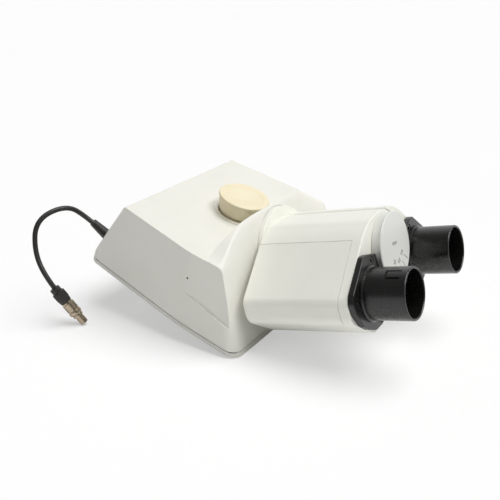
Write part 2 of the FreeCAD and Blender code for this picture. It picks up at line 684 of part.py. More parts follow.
def turning_prism(across):
    """A glass block whose slanted back turns the light into the tubes."""
    half = num("prism_half")
    width = num("prism_width")
    rise = num("prism_height")
    steep = math.tan(math.radians(45 + num("tube_lean") / 2))
    front, back = num("port_y") - half, num("port_y") + half
    profile = [(front, PRISM_FOOT), (back, PRISM_FOOT), (back, PRISM_FOOT + 3),
               (back - (rise - 3) / steep, PRISM_FOOT + rise), (front, PRISM_FOOT + rise)]
    wire = Part.makePolygon([V(across - width / 2, along, up) for along, up in profile + profile[:1]])
    return Part.Face(wire).extrude(V(width, 0, 0))


feature("viewing_prism", HEAD, turning_prism(0))
feature("splitting_prism", HEAD, turning_prism(-num("carriage_travel")))

# Shutter motor with pinion
motor_plate = box("motor_plate", ("0 - motor_rad - 4", MOTOR_Y + " - pinion_rad + 1", POST_TOP),
                  ("2 * motor_rad + 8", "pinion_rad + motor_rad", "2"))
carved("motor_bracket", HEAD, motor_plate, [drum("motor_plate_bore", ("0", MOTOR_Y, "0"), "2.4", "60")])
MOTOR = HEAD * shift(along=num(MOTOR_Y))
turned("drive_motor", MOTOR, [
    ("0", POST_TOP + " + 2"), ("motor_rad", POST_TOP + " + 2"), ("motor_rad", POST_TOP + " + 1 + motor_length"),
    ("motor_rad - 1", POST_TOP + " + 2 + motor_length"), ("3", POST_TOP + " + 2 + motor_length"),
    ("3", POST_TOP + " + 3.5 + motor_length"), ("0", POST_TOP + " + 3.5 + motor_length")])


def toothed_wheel(radius, low, height, count, depth):
    """A spur wheel about Z."""
    wheel = rod(radius, V(0, 0, low), height)
    width = math.pi * radius / count
    gap = slab(V(radius - depth, -width / 2, low - 1), (depth + 1, width, height + 2))
    gaps = [gap.copy().rotated(V(), AXIS_Z, 360.0 * index / count) for index in range(count)]
    return wheel.cut(gaps)


pinion_low = num("rail_height - gear_face / 2")
pinion_teeth = round(num("2 * 3.14159 * (pinion_rad - tooth_depth / 2) / tooth_pitch"))
pinion = toothed_wheel(num("pinion_rad"), pinion_low, num("gear_face"), pinion_teeth, num("tooth_depth"))
pinion = pinion.fuse(rod(num("screw_rad"), V(0, 0, pinion_low), num(POST_TOP) + 1.7 - pinion_low))
feature("drive_pinion", MOTOR, pinion)

# Control board on its standoffs
BOARD_Y = num("base_depth - board_back")
BOARD_HOLES = [(side * num("board_length / 2 - 5"), BOARD_Y + along)
               for side in (-1, 1) for along in (4.0, num("board_width - 4"))]
BOARD_LOW = num("base_thickness + standoff_height")
feature("board_standoffs", HEAD, Part.makeCompound(
    [rod(2.5, V(across, along, num("base_thickness")), num("standoff_height")) for across, along in BOARD_HOLES]))
board = slab(V(-num("board_length / 2"), BOARD_Y, BOARD_LOW),
             (num("board_length"), num("board_width"), num("board_thickness")))
feature("control_board", HEAD, board.cut([rod(num("screw_rad"), V(across, along, 0), 30)
                                          for across, along in BOARD_HOLES]))
BOARD_TOP = BOARD_LOW + num("board_thickness")
chips = [slab(V(-22, BOARD_Y + 6, BOARD_TOP), (9, 9, 1.6)), slab(V(-6, BOARD_Y + 7, BOARD_TOP), (12, 6, 2.2)),
         slab(V(14, BOARD_Y + 5, BOARD_TOP), (8, 4, 5)), rod(3.0, V(29, BOARD_Y + 10, BOARD_TOP), 6)]
feature("board_components", HEAD, Part.makeCompound(chips))

# Hollow spindle that carries both wings, the light windows and the dial
SPINDLE_TOP = "wing_front + dial_gap + dial_drum_length"
DISC_FRONT = "(wing_rear - run_gap)"
CROWN_TOP = num(DISC_FRONT + " + crown_thickness")
IDLER_MID = CROWN_TOP + num("run_gap + idler_rad")
BEARING_LOW = IDLER_MID + num("idler_rad + run_gap + crown_thickness")


def spindle():
    low, high = num("spindle_back"), num(SPINDLE_TOP)
    body = rod(num("spindle_rad"), V(0, 0, low), high - low)
    flat = slab(V(-40, -60, num("roof_height - shell_wall - run_gap")), (80, 200, 60))
    flat.Placement = SPINDLE_IN_HEAD.inverse()
    collar = rod(num("spindle_collar_rad"), V(0, 0, low), num("spindle_collar_thickness") + 5)
    body = body.fuse(collar.cut(flat))
    cuts = [rod(num("spindle_bore"), V(0, 0, low - 1), num(SPINDLE_TOP) - low - 5)]
    width = num("window_width")
    cuts.append(slab(V(-30, -width / 2, num("window_back")), (60, width, num("window_length"))))
    cuts.append(rod(num("idler_pin_rad + shaft_gap"), V(0, 0, IDLER_MID), 30, AXIS_Y))
    for across, along in SPINDLE_SCREWS:
        cuts.append(rod(num("screw_rad + fit_gap"), V(across, along, low - 1), 20))
    return body.cut(cuts)


feature("spindle", SPINDLE, spindle())
screws("spindle_screws", SPINDLE, [V(across, along, num("spindle_back")) for across, along in SPINDLE_SCREWS],
       V(0, 0, -1), num("spindle_screw_length"))
turned("tube_lens", SPINDLE, [
    ("0", "0"), ("spindle_bore", "1.5"), ("spindle_bore", "4.5"), ("0", "6")])
half_prism = num("spindle_bore") * 0.68
beam_prism = slab(V(-half_prism, -half_prism, num("window_back + 1")),
                  (2 * half_prism, 2 * half_prism, num("window_length - 2")))
feature("beam_prism", SPINDLE, beam_prism)
turned("friction_washer", SPINDLE, ring("crown_bore - 0.5", "spindle_rad + shaft_gap", DISC_FRONT + " + 0.05",
                                        DISC_FRONT + " + 0.5"))
turned("retaining_ring", SPINDLE, ring("crown_bore - 0.5", "spindle_rad + shaft_gap", DISC_FRONT + " + 0.5",
                                       DISC_FRONT + " + 1.8"))
DRUM_LOW = "wing_front + dial_gap"
turned("dial_drum", SPINDLE, ring("dial_rad - 0.5", "spindle_rad + fit_gap", DRUM_LOW,
                                  DRUM_LOW + " + dial_drum_length"))
turned("dial_face", SPINDLE, [
    ("0", SPINDLE_TOP), ("dial_rad", SPINDLE_TOP), ("dial_rad", SPINDLE_TOP + " + dial_face_thickness - 0.3"),
    ("dial_rad - 0.3", SPINDLE_TOP + " + dial_face_thickness"), ("0", SPINDLE_TOP + " + dial_face_thickness")])

# Crown wheels on both wings and the idler between them make the wings mirror each other
def crown_wheel(low, face_up):
    """A ring with radial teeth on the face that meets the idler."""
    thick = num("crown_thickness")
    outer = num("crown_rad")
    body = rod(outer, V(0, 0, low), thick).cut(rod(num("crown_bore"), V(0, 0, low - 1), thick + 2))
    level = low + thick - 0.8 if face_up else low - 0.2
    gap = slab(V(0, -0.6, level), (outer + 1, 1.2, 1.0))
    return body.cut([gap.copy().rotated(V(), AXIS_Z, 10.0 * index) for index in range(36)])


IDLER = SPINDLE * Placement(V(0, num("idler_reach"), IDLER_MID), Rotation(AXIS_X, -90))
idler_length = num("idler_length")
idler = toothed_wheel(num("idler_rad"), 0, idler_length, 11, 0.9)
feature("idler_wheel", IDLER, idler.cut(rod(num("idler_pin_rad + shaft_gap"), V(0, 0, -1), idler_length + 2)))
pin_foot = num("spindle_bore + 0.5 - idler_reach")
idler_pin = rod(num("idler_pin_rad"), V(0, 0, pin_foot), idler_length + num("run_gap") - pin_foot)
feature("idler_pin", IDLER, idler_pin.fuse(rod(2.4, V(0, 0, idler_length + num("run_gap")), 0.8)))


# Wings, each in its own frame: the arm runs out along X to the eyepiece tube
def drawn_in(points, inset):
    """The corners of a clockwise outline after every side moves in."""
    corners = [V(across, along, 0) for across, along in points]
    lines = []
    for index, corner in enumerate(corners):
        along = (corners[(index + 1) % len(corners)] - corner).normalize()
        lines.append((corner + V(along.y, -along.x, 0) * inset, along))
    moved = []
    for index, (foot, along) in enumerate(lines):
        before, earlier = lines[index - 1]
        spread = earlier.x * along.y - earlier.y * along.x
        apart = foot - before
        reach = (apart.x * along.y - apart.y * along.x) / spread
        moved.append((before.x + earlier.x * reach, before.y + earlier.y * reach))
    return moved


def wing_slab(side, inset, low, high):
    """The wing's section, drawn in by an inset, as a slab from low to high."""
    hub = num("hub_rad")
    arm = num("arm")
    lead = math.radians(109)
    start = (hub * math.cos(lead), hub * math.sin(lead)) if side < 0 else (2.3, hub + 1.5)
    points = [(0, 0), start, (6, hub + 3.5), (20, hub + 3.2), (arm + 22.7, 14), (arm + 27.2, 0.5),
              (arm + 7.7, -29), (arm - 5.3, 0.71 * (5.3 - arm))]
    radii = [0, 0 if side < 0 else 2.5, 10, 40, 7, 10, 9, 6]
    if inset:
        points = drawn_in(points, inset)
        radii = [max(radius - inset, 0) for radius in radii]
    return plate([(side * out, up) for out, up in points], radii, low, high)


def beam_slot(side, reach):
    """The way for the light from the spindle into one wing."""
    half = num("glass_half")
    corner = V(0 if side > 0 else -reach, -half, num("window_back"))
    return slab(corner, (reach, 2 * half, num("window_length")))


def opposite_slot():
    """The window in the hub drum that follows the other wing through its whole swing."""
    widest = 360 - 2 * num("droop")
    narrow = widest - 2 * num("closing")
    reach = num("2 * hub_rad")
    turns = [math.radians(turn) for turn in (narrow - 24, (narrow + widest) / 2, widest + 24)]
    points = [(0, 0)] + [(reach * math.cos(turn), reach * math.sin(turn)) for turn in turns]
    return plate(points, [0, 0, 0, 0], num("window_back"), num("window_back + window_length"))


def wing_casting(side):
    """One closed hollow wing with its hub, before case and cover part."""
    rear = num("wing_rear" if side < 0 else DISC_FRONT)
    front, wall = num("wing_front"), num("wing_wall")
    hub, gap, arm = num("hub_rad"), num("hub_gap"), num("arm")
    outer = wing_slab(side, 0, rear, front)
    hollow = wing_slab(side, wall, rear + wall, front - wall)
    if side < 0:
        outer = outer.fuse(rod(hub, V(0, 0, rear), front - rear))
        hollow = hollow.cut(rod(hub, V(0, 0, rear), front))
        bearing_top = BEARING_LOW + num("bearing_wall")
        cuts = [hollow, rod(num("crown_rad + run_gap"), V(0, 0, rear - 1), BEARING_LOW - rear + 1),
                rod(hub - wall, V(0, 0, bearing_top), front - wall - bearing_top), opposite_slot(),
                beam_slot(side, hub + 1)]
    else:
        disc_rear = num("disc_rear")
        outer = outer.cut(rod(hub + gap, V(0, 0, rear), front))
        outer = outer.fuse(rod(num("disc_rad"), V(0, 0, disc_rear), rear - disc_rear))
        hollow = hollow.cut(rod(hub + gap + wall, V(0, 0, rear), front))
        cuts = [hollow, beam_slot(side, hub + gap + wall + 0.5)]
    cuts.append(rod(num("spindle_rad + shaft_gap"), V(0, 0, 0), front + 1))
    cuts.append(rod(num("spigot_rad + fit_gap"), V(side * arm, 0, front - wall - 1), 9))
    for across, along in tube_screw_places(side):
        cuts.append(rod(num("screw_rad + fit_gap"), V(across, along, front - wall - 1), 9))
    return outer.cut(cuts)


def tube_screw_places(side):
    """Centres of the three screws that hold an eyepiece tube plate."""
    turns = [math.radians(num("plate_screw_angle - %d * plate_screw_step" % index)) for index in range(3)]
    reach = num("bolt_rad")
    return [(side * (num("arm") + reach * math.cos(turn)), reach * math.sin(turn)) for turn in turns]


def cover_zone(side, grow):
    """The part of a wing that belongs to its cover; grow opens the seam."""
    line = num("cover_line + seam") - grow
    start = line if side > 0 else -line - 90
    zone = slab(V(start, -60, 0), (90, 120, num("cover_front") + grow))
    if side > 0:
        return zone.cut(rod(num("disc_rad + seam") - grow, V(), num(DISC_FRONT + " + seam") - grow))
    return zone.cut(rod(num("hub_rad + seam") - grow, V(), 100))


def prism_body(side):
    """A glass block that carries the light out along the arm and turns it forward."""
    arm, half = num("arm"), num("window_length / 2")
    low, high, wide = num("window_back"), num("window_back + window_length"), num("glass_half")
    start = num("hub_rad + hub_gap + wing_wall + run_gap")
    profile = [(start, low), (arm - half, low), (arm + half, high), (start, high)]
    wire = Part.makePolygon([V(side * out, -wide, up) for out, up in profile + profile[:1]])
    return Part.Face(wire).extrude(V(0, 2 * wide, 0))


def prism_bracket(side):
    """A shelf from the wing's inner wall under its prism."""
    thick = num("bracket_thickness")
    reach = num("arm + window_length / 2 - 2")
    wall = num("hub_rad") if side < 0 else num("hub_rad + hub_gap + wing_wall")
    corner = V(0 if side > 0 else -reach, -num("glass_half") - thick, num("window_back + 1"))
    return slab(corner, (reach, thick, num("window_length - 2"))).cut(rod(wall, V(), 100))


def tube_plate(side):
    """The black plate between a wing and its eyepiece tube."""
    arm = num("arm")
    low = num("wing_front")
    thick = num("plate_thickness")
    points = [(-22, 13.5), (-12, 21.3), (-7.5, 23.5), (18.7, 16.6), (23.2, 12.5), (24.2, 5), (21.7, -7),
              (17.7, -14), (10.7, -21.5), (0.7, -25.5), (-7, -24), (-14, -15), (-19, -3)]
    radii = [2, 2, 3, 3, 4, 8, 8, 8, 8, 8, 6, 8, 8]
    body = plate([(side * (arm + out), up) for out, up in points], radii, low, low + thick)
    cuts = [rod(num("spigot_rad + fit_gap"), V(side * arm, 0, low - 1), thick + 2)]
    for across, along in tube_screw_places(side):
        cuts.append(rod(num("screw_rad + fit_gap"), V(across, along, low - 1), thick + 2))
        cuts.append(rod(num("head_rad + fit_gap"), V(across, along, low + thick - 2.2), 4))
    return body.cut(cuts)


PLATE_FRONT = "wing_front + plate_thickness"
SLEEVE_END = PLATE_FRONT + " + sleeve_length"
SLEEVE = [
    ("stop_rad", PLATE_FRONT + " - spigot_length"), ("spigot_rad", PLATE_FRONT + " - spigot_length"),
    ("spigot_rad", PLATE_FRONT), ("lip_rad", PLATE_FRONT), ("lip_rad", PLATE_FRONT + " + lip_length"),
    ("sleeve_rad", PLATE_FRONT + " + lip_length + 0.6"), ("sleeve_rad", SLEEVE_END + " - 0.5"),
    ("sleeve_rad - 0.5", SLEEVE_END), ("sleeve_bore + 0.5", SLEEVE_END), ("sleeve_bore", SLEEVE_END + " - 0.5"),
    ("sleeve_bore", PLATE_FRONT + " - spigot_length + stop_thickness"),
    ("stop_rad", PLATE_FRONT + " - spigot_length + stop_thickness")]


for name, side in WINGS.items():
    frame = wing_frame(side)
    casting = wing_casting(side)
    feature(name + "_wing_case", frame, casting.cut(cover_zone(side, num("seam"))))
    feature(name + "_wing_cover", frame, casting.common(cover_zone(side, 0)))
    feature(name + "_tube_prism", frame, prism_body(side))
    feature(name + "_prism_bracket", frame, prism_bracket(side))
    feature(name + "_tube_plate", frame, tube_plate(side))
    foot = num("wing_front + plate_thickness") - 2.2
    screws(name + "_plate_screws", frame, [V(across, along, foot) for across, along in tube_screw_places(side)],
           AXIS_Z, num("screw_length") - 0.5)
feature("left_crown_wheel", wing_frame(-1), crown_wheel(BEARING_LOW - num("crown_thickness"), False))
feature("right_crown_wheel", wing_frame(1), crown_wheel(num(DISC_FRONT), True))
turned("right_sleeve", wing_frame(1) * shift(across=num("arm")), SLEEVE)


# The left sleeve has a spring tab: two legs along the tube joined by a cross slot
def spring_sleeve():
    places = [V(num(radius), 0, num(height)) for radius, height in SLEEVE]
    body = Part.Face(Part.makePolygon(places + places[:1])).revolve(V(), AXIS_Z, 360)
    low = num(PLATE_FRONT + " + slot_back")
    wide, length = num("slot_width"), num("slot_length")
    inner, reach = num("sleeve_bore - 2"), num("sleeve_rad - sleeve_bore + 4")
    leg = slab(V(inner, -wide / 2, low), (reach, wide, length))
    first, span = num("slot_turn"), num("slot_span")
    cuts = [leg.copy().rotated(V(), AXIS_Z, turn) for turn in (first, first + span)]
    cross = Part.makeCylinder(inner + reach, wide, V(0, 0, low), AXIS_Z, span)
    cuts.append(cross.rotated(V(), AXIS_Z, first))
    return body.cut(cuts)


feature("left_sleeve", wing_frame(-1) * shift(across=-num("arm")), spring_sleeve())

# Cable: strain relief, cord along its route, plug with a turning sleeve
RELIEF = HEAD * RELIEF_IN_HEAD
turned("strain_relief", RELIEF, [
    ("cable_rad + fit_gap", "0 - 7"), ("relief_neck + 1.5", "0 - 7"), ("relief_neck + 1.5", "0 - 5"),
    ("relief_neck", "0 - 5"), ("relief_neck", "2.4"), ("relief_foot", "2.4"), ("relief_foot", "4.2"),
    ("relief_tip", "relief_length"), ("relief_tip - 0.45", "relief_length"),
    ("cable_rad + fit_gap", "relief_length - 4")])
plug_length = num("boot_length + grip_length + nose_length")
plug_dip = math.radians(num("plug_dip"))
PLUG_FOOT = V(-99.15, 136.8, plug_length * math.sin(plug_dip) + num("nose_rad") * math.cos(plug_dip) + 0.05)
PLUG = Placement(PLUG_FOOT, Rotation(AXIS_Z, num("plug_heading")) * Rotation(AXIS_Y, 90 + num("plug_dip")))
ROUTE = [RELIEF.multVec(V(0, 0, 4)), RELIEF.multVec(V(0, 0, 25.5)), V(-68.5, 148.2, 80.4), V(-89.7, 158.6, 73.5),
         V(-98.0, 153.9, 50.8), PLUG.multVec(V(0, 0, -5.3)), PLUG.multVec(V(0, 0, 9))]


def cord(route, radius):
    """A round cord along straight runs joined by tangent arcs."""
    runs = [(b - a).Length for a, b in zip(route, route[1:])]
    bends = [0.0]
    for index in range(1, len(route) - 1):
        turn = (route[index] - route[index - 1]).getAngle(route[index + 1] - route[index])
        bends.append(0.45 * min(runs[index - 1], runs[index]) / math.tan(turn / 2))
    spine = Part.Wire(rounded_path(route, bends + [0.0], False))
    circle = Part.Wire(Part.Circle(route[0], route[1] - route[0], radius).toShape())
    return spine.makePipeShell([circle], True, False), spine.Length


cable, cable_length = cord(ROUTE, num("cable_rad"))
section = math.pi * num("cable_rad") ** 2
if abs(cable.Volume / (section * cable_length) - 1) > 0.01:
    raise ValueError("the cable's volume does not match its length")
feature("cable", Placement(), cable)
turned("plug_boot", PLUG, [
    ("0", "9.3"), ("cable_rad + fit_gap", "9.3"), ("cable_rad + fit_gap", "0"), ("boot_rad - 0.4", "0"),
    ("boot_rad", "0.4"), ("boot_rad", "3"), ("grip_rad", "4"), ("grip_rad", "boot_length - 3.5"),
    ("core_rad + 1", "boot_length"), ("0", "boot_length")])
CORE_STEP = "boot_length + grip_length"
turned("plug_core", PLUG, [
    ("0", "boot_length"), ("core_rad", "boot_length"), ("core_rad", CORE_STEP), ("core_rad", CORE_STEP + " + 0.3"),
    ("core_rad + 0.6", CORE_STEP + " + 0.3"), ("core_rad + 0.6", CORE_STEP + " + 2.2"),
    ("nose_rad", CORE_STEP + " + 2.6"), ("nose_rad", CORE_STEP + " + nose_length"),
    ("nose_rad - 0.6", CORE_STEP + " + nose_length"), ("nose_rad - 0.6", CORE_STEP + " + 3"),
    ("0", CORE_STEP + " + 3")])
turned("plug_sleeve", PLUG, [
    ("core_rad + shaft_gap", "boot_length + run_gap"), ("grip_rad - 0.5", "boot_length + run_gap"),
    ("grip_rad - 0.5", "boot_length + 8"), ("grip_rad", "boot_length + 8.6"), ("grip_rad", CORE_STEP + " - 0.6"),
    ("grip_rad - 0.6", CORE_STEP), ("core_rad + shaft_gap", CORE_STEP)])
pins = [rod(num("pin_rad"), V(across, along, num(CORE_STEP) + 3), num("nose_length") - 4)
        for across, along in [(0.0, 0.0)] + round_places(1.4, 5, 0)]
feature("plug_pins", PLUG, Part.makeCompound(pins))
doc.recompute()

# The origin goes under the middle of everything but the cord
CORD = {"cable", "plug_boot", "plug_core", "plug_sleeve", "plug_pins"}
for item in doc.Objects:
    bad = {"Invalid", "Error"} & set(item.State)
    if bad:
        raise ValueError("%s is %s" % (item.Label, bad))
limits = [item.Shape.optimalBoundingBox(False) for item in PARTS if item.Label not in CORD]
middle = V(min(b.XMin for b in limits) + max(b.XMax for b in limits),
           min(b.YMin for b in limits) + max(b.YMax for b in limits), 2 * min(b.ZMin for b in limits)) * 0.5
for item in PARTS:
    item.Placement = Placement(middle * -1, Rotation()) * item.Placement
doc.recompute()

os.makedirs("parts", exist_ok=True)
for item in PARTS:
    if item.Shape.isNull() or not item.Shape.isValid() or not item.Shape.Solids:
        raise ValueError("no valid solid in " + item.Label)
    item.Shape.exportStep(os.path.join("parts", item.Label + ".step"))
print("sub-parts", len(PARTS), "origin moved by", [round(-value, 3) for value in middle])
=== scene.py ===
# %% [markdown]
# # A microscope's binocular head in Blender
# The head lies on a white table as in a product photograph: a painted housing, two swinging wings
# with black eyepiece sleeves, a dial between them, a capped port on the roof and a short cable.
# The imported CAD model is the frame. Every piece here is in metres and in the CAD's own place.

# %% Load the frame
from math import atan, cos, radians, sin, tan, tau

import bmesh
import bpy
from mathutils import Matrix, Vector


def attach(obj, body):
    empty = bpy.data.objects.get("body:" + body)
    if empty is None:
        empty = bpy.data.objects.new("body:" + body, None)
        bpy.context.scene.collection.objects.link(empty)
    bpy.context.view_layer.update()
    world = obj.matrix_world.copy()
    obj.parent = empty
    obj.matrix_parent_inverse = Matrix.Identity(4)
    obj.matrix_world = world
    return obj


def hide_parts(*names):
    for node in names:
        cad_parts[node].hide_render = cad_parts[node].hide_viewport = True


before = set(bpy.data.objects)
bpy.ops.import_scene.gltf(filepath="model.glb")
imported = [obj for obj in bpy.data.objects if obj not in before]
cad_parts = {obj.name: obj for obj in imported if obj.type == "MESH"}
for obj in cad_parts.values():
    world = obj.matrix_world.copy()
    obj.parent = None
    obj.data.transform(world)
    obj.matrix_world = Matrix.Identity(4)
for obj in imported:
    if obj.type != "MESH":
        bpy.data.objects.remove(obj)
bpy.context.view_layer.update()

# %% [markdown]
# ## The places of the pieces
# The head tips forward until the foot of its round mount meets the table, so nothing on it is
# level. Each group of pieces has a frame of its own, as in the CAD: along the mount, along the
# eyepiece tubes and along each arm. A piece is made upright in its frame and then moved once.

# %% Frames
MM = 0.001
MOUNT_DROP, PORT_BACK, MOUNT_RADIUS = 10.0, 62.2, 28.5
ORIGIN_SHIFT, TUBE_LEAN, AXIS_RISE, ARM, DROOP = 15.302, 31.0, 51.0, 43.3, 22.7


def move(across=0.0, along=0.0, up=0.0):
    return Matrix.Translation(Vector((across, along, up)) * MM)


def turn(degrees, axis):
    return Matrix.Rotation(radians(degrees), 4, axis)


HEAD = move(along=-ORIGIN_SHIFT) @ Matrix.Rotation(atan(MOUNT_DROP / (PORT_BACK - MOUNT_RADIUS)), 4, "X")
PORT = HEAD @ move(along=PORT_BACK)
SPINDLE = HEAD @ turn(90 - TUBE_LEAN, "X") @ move(along=AXIS_RISE)
WINGS = {"left": -1, "right": 1}
ARMS = {name: SPINDLE @ turn(-side * DROOP, "Z") for name, side in WINGS.items()}
TUBES = {name: ARMS[name] @ move(across=side * ARM) for name, side in WINGS.items()}
print("roof faces", [round(x, 3) for x in HEAD.to_3x3().col[2]])

# %% [markdown]
# ## The camera
# The photograph was taken from the left and a little above, with a short telephoto lens. A lens of
# 54 mm on a 36 mm sensor gives the same narrowing of the far side. The camera has no shift or roll.

# %% Camera
CAMERA_PLACE = Vector((-0.4344, -0.2478, 0.2620))
CAMERA_AIM = Vector((0.784, 0.482, -0.391))

lens = bpy.data.cameras.new("camera")
lens.lens, lens.sensor_width = 53.97, 36
lens.clip_start, lens.clip_end = 0.01, 50
camera = bpy.data.objects.new("camera", lens)
camera.location = CAMERA_PLACE
camera.rotation_mode = "QUATERNION"
camera.rotation_quaternion = CAMERA_AIM.to_track_quat("-Z", "Y")
bpy.context.scene.collection.objects.link(camera)
bpy.context.scene.camera = camera
bpy.context.scene.view_settings.view_transform = "Standard"
print("camera", [round(x, 3) for x in camera.location])

# %% [markdown]
# ## Materials as sentences
# A finish is a Principled shader with a few textures that vary its colour, roughness and relief.
# Node graphs are hard to read as calls, so one small class wraps a socket and turns plain
# arithmetic into Math nodes. Colours go through a Mix node, which keeps all three channels.

# %% Socket arithmetic
class Strand:
    """One output socket of a material; arithmetic on it adds Math nodes."""

    def __init__(self, finish, socket):
        self.finish, self.socket = finish, socket

    def maths(self, operation, *values):
        return self.finish.node("ShaderNodeMath", {"operation": operation}, dict(enumerate(values)))

    def __add__(self, other):
        return self.maths("ADD", self, other)

    def __sub__(self, other):
        return self.maths("SUBTRACT", self, other)

    def __mul__(self, other):
        return self.maths("MULTIPLY", self, other)

    __radd__, __rmul__ = __add__, __mul__


def paint_chip(red, green, blue):
    """A colour as a paint chart gives it, 0 to 255, made linear."""
    linear = [c / 12.92 if c <= 0.04045 else ((c + 0.055) / 1.055) ** 2.4
              for c in (red / 255, green / 255, blue / 255)]
    return (*linear, 1.0)


print("socket arithmetic ready; mid grey is", round(paint_chip(188, 188, 188)[0], 3))

# %% One finish
class Finish:
    """A material, its Principled shader and the textures behind it."""

    def __init__(self, name, **constants):
        self.material = bpy.data.materials.new(name)
        self.material.use_nodes = True
        self.tree = self.material.node_tree
        self.shader = self.tree.nodes["Principled BSDF"]
        self.spot = self.node("ShaderNodeTexCoord", output="Object")
        for socket, value in constants.items():
            self.set(socket.replace("_", " "), value)

    def set(self, socket, value):
        self.feed(self.shader.inputs[socket], value)
        return self

    def feed(self, socket, value):
        if isinstance(value, Strand):
            self.tree.links.new(value.socket, socket)
        else:
            socket.default_value = value

    def node(self, kind, settings=None, inputs=None, output=0):
        node = self.tree.nodes.new(kind)
        for key, value in (settings or {}).items():
            setattr(node, key, value)
        for key, value in (inputs or {}).items():
            self.feed(node.inputs[key], value)
        return Strand(self, node.outputs[output])

    def noise(self, scale, detail=2.0, spot=None):
        return self.node("ShaderNodeTexNoise", None, {"Vector": spot or self.spot, "Scale": scale, "Detail": detail})

    def band(self, strand, low, high):
        """0 below low, 1 above high."""
        return self.node("ShaderNodeMapRange", {"clamp": True}, {"Value": strand, "From Min": low, "From Max": high})

    def tint(self, factor, first, second):
        return self.node("ShaderNodeMix", {"data_type": "RGBA"}, {0: factor, 6: first, 7: second}, output=2)

    def relief(self, height, depth):
        """Raise the surface by height times depth, in millimetres."""
        return self.set("Normal", self.node("ShaderNodeBump", None, {"Height": height, "Distance": depth * MM}))


def grained(name, colour, second, roughness, grain, depth, patch=30.0, **constants):
    """A finish with soft patches of a second colour and a fine grain."""
    made = Finish(name, **constants)
    patches = made.band(made.noise(patch, 4.0), 0.35, 0.65)
    fine = made.noise(grain, 3.0)
    made.set("Base Color", made.tint(patches, paint_chip(*colour), paint_chip(*second)))
    made.set("Roughness", roughness + (fine - 0.5) * 0.12 + (patches - 0.5) * 0.03)
    return made.relief(fine, depth)


print("finishes can be made")

# %% [markdown]
# ## The finishes
# The castings carry a fine powder paint: warm white, almost matt, with a grain you only see close
# up. The cap is older moulded plastic and has yellowed. Sleeves and plates are anodised, which
# leaves a dark satin skin that mirrors a little more than plastic does. Hidden pieces get the plain
# look of their metal.

# %% Paints and plastics
FINISHES = {
    "shell_paint": grained("housing_paint", (234, 233, 225), (231, 230, 222), 0.42, 1700, 0.035),
    "wing_paint": grained("wing_paint", (246, 246, 237), (243, 243, 234), 0.40, 1700, 0.035),
    "plate_paint": grained("base_paint", (222, 221, 214), (216, 215, 208), 0.45, 1500, 0.03),
    "cap_plastic": grained("yellowed_plastic", (243, 234, 206), (236, 224, 190), 0.38, 1100, 0.03, 45),
    "dial_plastic": grained("dial_plastic", (226, 227, 222), (223, 224, 219), 0.36, 1400, 0.02),
    "cord_black": grained("cable_rubber", (32, 30, 28), (40, 38, 35), 0.42, 900, 0.05, 120),
    # The gasket's near-black colour is painted shade: it darkens the thin gap between the base plate and the shell.
    "foam": grained("gasket_painted_shade", (46, 46, 44), (62, 61, 58), 0.95, 1400, 0.4, 200),
    "chip_black": grained("chip_resin", (34, 34, 36), (44, 44, 46), 0.5, 1500, 0.03, 200),
    "board_green": grained("board_lacquer", (22, 84, 52), (30, 98, 60), 0.28, 700, 0.02, 300, Coat_Weight=0.4),
}
print("paints", sorted(FINISHES))

# %% Metals and glass
SKIN_IOR = 1.56
METALS = {
    "black_anodised": ((14, 14, 13), (19, 18, 17), 0.27, 1300, 0.035, 0.0),
    "dark_plate": ((18, 18, 17), (25, 24, 23), 0.32, 1500, 0.04, 0.0),
    "dark_steel": ((70, 69, 68), (88, 86, 84), 0.30, 1400, 0.02, 0.8),
    "silver": ((238, 235, 224), (228, 225, 213), 0.42, 1200, 0.015, 0.35),
    "steel": ((196, 196, 196), (172, 172, 173), 0.26, 1300, 0.015, 1.0),
    "nickel": ((204, 192, 172), (178, 164, 142), 0.24, 900, 0.02, 1.0),
    "brass": ((214, 178, 108), (190, 150, 82), 0.28, 1000, 0.02, 1.0),
    "motor_case": ((176, 177, 180), (158, 159, 162), 0.3, 900, 0.02, 1.0),
}
for slot, (colour, second, roughness, grain, depth, metal) in METALS.items():
    FINISHES[slot] = grained(slot + "_metal", colour, second, roughness, grain, depth, 60, Metallic=metal,
                             IOR=SKIN_IOR)
FINISHES["glass"] = grained("prism_glass", (236, 244, 242), (228, 240, 238), 0.08, 400, 0.0005, 20,
                            IOR=1.52, Transmission_Weight=0.9)
print("finishes", len(FINISHES))

# %% [markdown]
# ## What stays from the CAD
# The pieces inside the head are right as the CAD makes them, so they only need their finish. The
# CAD gives each one a material slot, and the slot's name picks the finish from the table.

# %% Dress the CAD nodes
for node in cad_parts.values():
    node.data.materials[0] = FINISHES[node.data.materials[0].name].material
print("dressed", len(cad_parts), "nodes")

# %% [markdown]
# ## Making and placing a piece
# Two shapes make most of the head. A turned piece is a chain of corners spun once round its axis.
# A plate or casting is a face pushed up into a slab, whose upright edges are then rounded one by
# one. Real edges are never sharp, so most pieces get a small bevel that catches the light.

# %% Spin and soften
def soften(bm, width, above=28.0, segments=2):
    """Bevel every edge that is sharper than an angle in degrees."""
    bmesh.ops.recalc_face_normals(bm, faces=bm.faces)
    sharp = [edge for edge in bm.edges if edge.is_manifold and edge.calc_face_angle() > radians(above)]
    bmesh.ops.bevel(bm, geom=sharp, offset=width * MM, offset_type="OFFSET", segments=segments, profile=0.5,
                    affect="EDGES", material=-1, clamp_overlap=True)
    return bm


